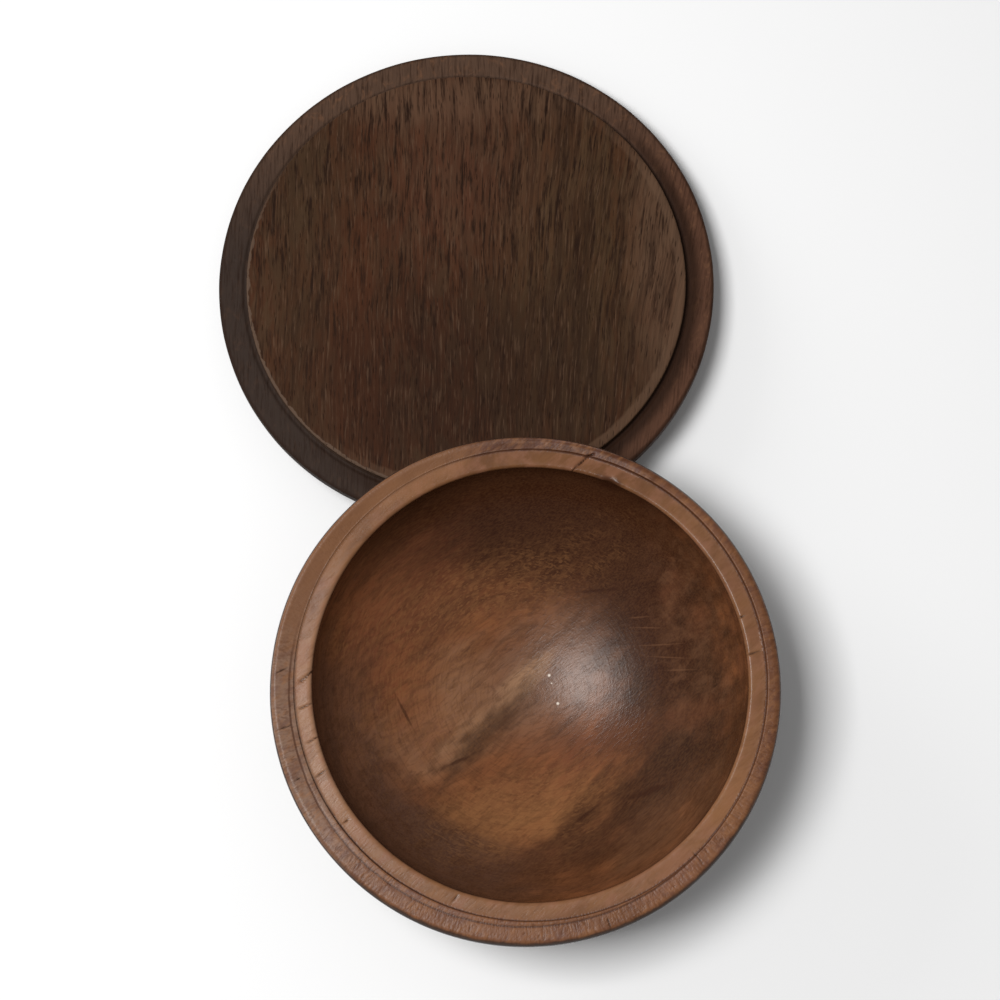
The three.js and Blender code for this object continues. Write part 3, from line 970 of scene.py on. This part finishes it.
for middle, half_length, half_width, softness, ragged, strength, tone in lid_patches:
    mask = soft_patch(disc, middle, half_length, half_width, math.degrees(grain_turn), softness, ragged)
    colour = tint(tree, mask, colour, tone, strength)
sides = add(tree, "ShaderNodeSeparateXYZ", {0: here}).outputs
clustered = times(tree, streaks, maths(tree, "MULTIPLY_ADD", clusters, 0.62,
                                       eased(tree, sides[1], -40, 60, 0.22, 0.50)))
colour = tint(tree, times(tree, stripes, eased(tree, sides[0], -10, 60, 0.15, 0.55)), colour, lid_dark)
colour = tint(tree, clustered, colour, lid_dark)
colour = tint(tree, glints, colour, lid_light, strength=0.5)

# The flange: greyer at the left as a painted reflection, rubbed at the upper right, with painted shade in the
# plug's corner and a painted shadow of the plug at the lower right.
flange_mask = turned_ring(disc, plug_radius + 0.1, past_rim, softness=0.4)
plug_corner_painted_shade = turned_ring(disc, plug_radius + 0.1, plug_radius + 1.6, softness=0.5)
shadow_mask = turned_ring(disc, plug_radius + 0.1, plug_radius + 3.6, softness=5.0, ragged=1.5)
rubbed = effect(tree, fibres, {"Vector": grain, "Width": 3.5, "Length": 6, "Thickness": 4, "Detail": 4,
                               "Curl": 0.8, "From": 0.5, "To": 0.72})
at_up_right = eased(tree, maths(tree, "ADD", sides[0], sides[1]), -40, 60, 0.08, 0.45)
at_low_right = eased(tree, maths(tree, "SUBTRACT", sides[0], sides[1]), -20, 70)
# Painted reflection: the flange's grey on the left stands in for a dim reflection.
flange_colour = tint(tree, eased(tree, sides[0], -80, 90), flange_grey_painted_reflection, flange_red)
flange_colour = tint(tree, eased(tree, sides[1], 20, 95), flange_colour, flange_brown)
flange_colour = tint(tree, clustered, flange_colour, lid_dark, strength=0.6)
flange_colour = tint(tree, times(tree, rubbed, at_up_right), flange_colour, flange_worn)
flange_colour = tint(tree, times(tree, shadow_mask, at_low_right), flange_colour, lid_dark, strength=0.80)
edge_mask = turned_ring(disc, plug_radius - 3.4, plug_radius, softness=1.6, ragged=2.0)
colour = tint(tree, times(tree, edge_mask, at_low_right), colour, lid_light, strength=0.55)
# The plug's arris is lighter at the lower left: worn wood, and partly a painted highlight where the edge
# faces the light.
arris_mask = turned_ring(disc, plug_radius - 1.1, plug_radius + 0.1, softness=0.3, ragged=3.0)
low_left = eased(tree, maths(tree, "ADD", sides[0], times(tree, sides[1], 0.5)), -30, -90)
colour = tint(tree, times(tree, arris_mask, low_left), colour, arris_tone)
colour = tint(tree, flange_mask, colour, flange_colour)
# Painted shade on the lid's rounded outer edge.
lid_edge_painted_shade = turned_ring(disc, lid_radius - 1.0, past_rim, softness=1.0, ragged=1.5)
colour = tint(tree, lid_edge_painted_shade, colour, lid_dark, strength=0.55)
# Painted shade in the corner at the plug's foot.
plug_corner_painted_shade = times(tree, plug_corner_painted_shade, maths(tree, "MULTIPLY_ADD", low_left, -0.15, 0.3))
colour = tint(tree, plug_corner_painted_shade, colour, pore_and_painted_shade_tone)
pore_mask = times(tree, open_pores, maths(tree, "MULTIPLY_ADD", flange_mask, -0.55, 0.75))
colour = tint(tree, pore_mask, colour, pore_and_painted_shade_tone)
tree.links.new(colour, shader.inputs["Base Color"])
relief = maths(tree, "SUBTRACT", times(tree, glints, 0.4),
               maths(tree, "ADD", open_pores, times(tree, clustered, 0.6)))
bump = add(tree, "ShaderNodeBump", {"Height": relief, "Strength": 0.4, "Distance": 0.0003})
tree.links.new(bump.outputs[0], shader.inputs["Normal"])
shader.inputs["Roughness"].default_value = 0.6
shader.inputs["Specular IOR Level"].default_value = 0.06

lid_piece = shaped_by(lid_mesh, opened, "turned_lid", {
    "Grain turn": grain_turn, "Spacing": pore_spacing, "Length": pore_length, "Fill": pore_fill,
    "Depth": 0.00018, "Face height": 0.0026, "Face radius": 0.0935, "Wood": lid_wood})
lid_piece.data.transform(Matrix.Translation(lid_place) @ lean)
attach(lid_piece, "lid")
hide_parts("lid")

# The floor: a plain pale sheet under both pieces.
floor_reach = 3.0
floor_mesh = bpy.data.meshes.new("floor")
floor_mesh.from_pydata([(-floor_reach, -floor_reach, 0), (floor_reach, -floor_reach, 0),
                        (floor_reach, floor_reach, 0), (-floor_reach, floor_reach, 0)], [], [(0, 1, 2, 3)])
floor = bpy.data.objects.new("floor", floor_mesh)
bpy.context.scene.collection.objects.link(floor)
floor_paint, _, shader, _ = new_material("floor_paint")
shader.inputs["Base Color"].default_value = (0.86, 0.86, 0.86, 1)
shader.inputs["Roughness"].default_value = 0.9
shader.inputs["Specular IOR Level"].default_value = 0.1
floor_mesh.materials.append(floor_paint)

# Camera: above the bowl and a little in front of it, turned so that the lid lies up and left.
camera_height_angle = math.radians(80.22)
camera_turn = math.radians(7.88)
camera_distance = 1.1838
camera_target = Vector((0.00188, 0.08964, 0))
look = Vector((math.sin(camera_turn) * math.cos(camera_height_angle),
               math.cos(camera_turn) * math.cos(camera_height_angle), -math.sin(camera_height_angle)))
camera_data = bpy.data.cameras.new("camera")
camera_data.sensor_width = 36
camera_data.lens = 97.2
camera = bpy.data.objects.new("camera", camera_data)
camera.location = camera_target - look * camera_distance
camera.rotation_euler = look.to_track_quat("-Z", "Y").to_euler()
bpy.context.scene.collection.objects.link(camera)
bpy.context.scene.camera = camera

# Light: a broad panel high on the left that shines in the hollow, a weaker window at the upper
# left, and a dim, even surround.
image_right = Vector((math.cos(camera_turn), -math.sin(camera_turn), 0))
image_up = Vector((math.sin(camera_turn), math.cos(camera_turn), 0))
for name, right, up, height, distance, size, power in (
        ("panel", -0.315, -0.03, 0.92, 1.8, 0.62, 28),
        ("window", -0.85, 0.55, 0.45, 1.9, 1.0, 9)):
    light_data = bpy.data.lights.new(name, "AREA")
    light_data.shape = "SQUARE"
    light_data.size = size
    light_data.energy = power
    light = bpy.data.objects.new(name, light_data)
    light.visible_glossy = name == "panel"
    away = (image_right * right + image_up * up + Vector((0, 0, height))).normalized()
    light.location = camera_target + away * distance
    light.rotation_euler = (-away).to_track_quat("-Z", "Y").to_euler()
    bpy.context.scene.collection.objects.link(light)
surround = bpy.data.worlds.new("surround")
surround.use_nodes = True
surround.node_tree.nodes["Background"].inputs["Color"].default_value = (1, 1, 1, 1)
surround.node_tree.nodes["Background"].inputs["Strength"].default_value = 0.27
bpy.context.scene.world = surround
bpy.context.scene.view_settings.view_transform = "Standard"
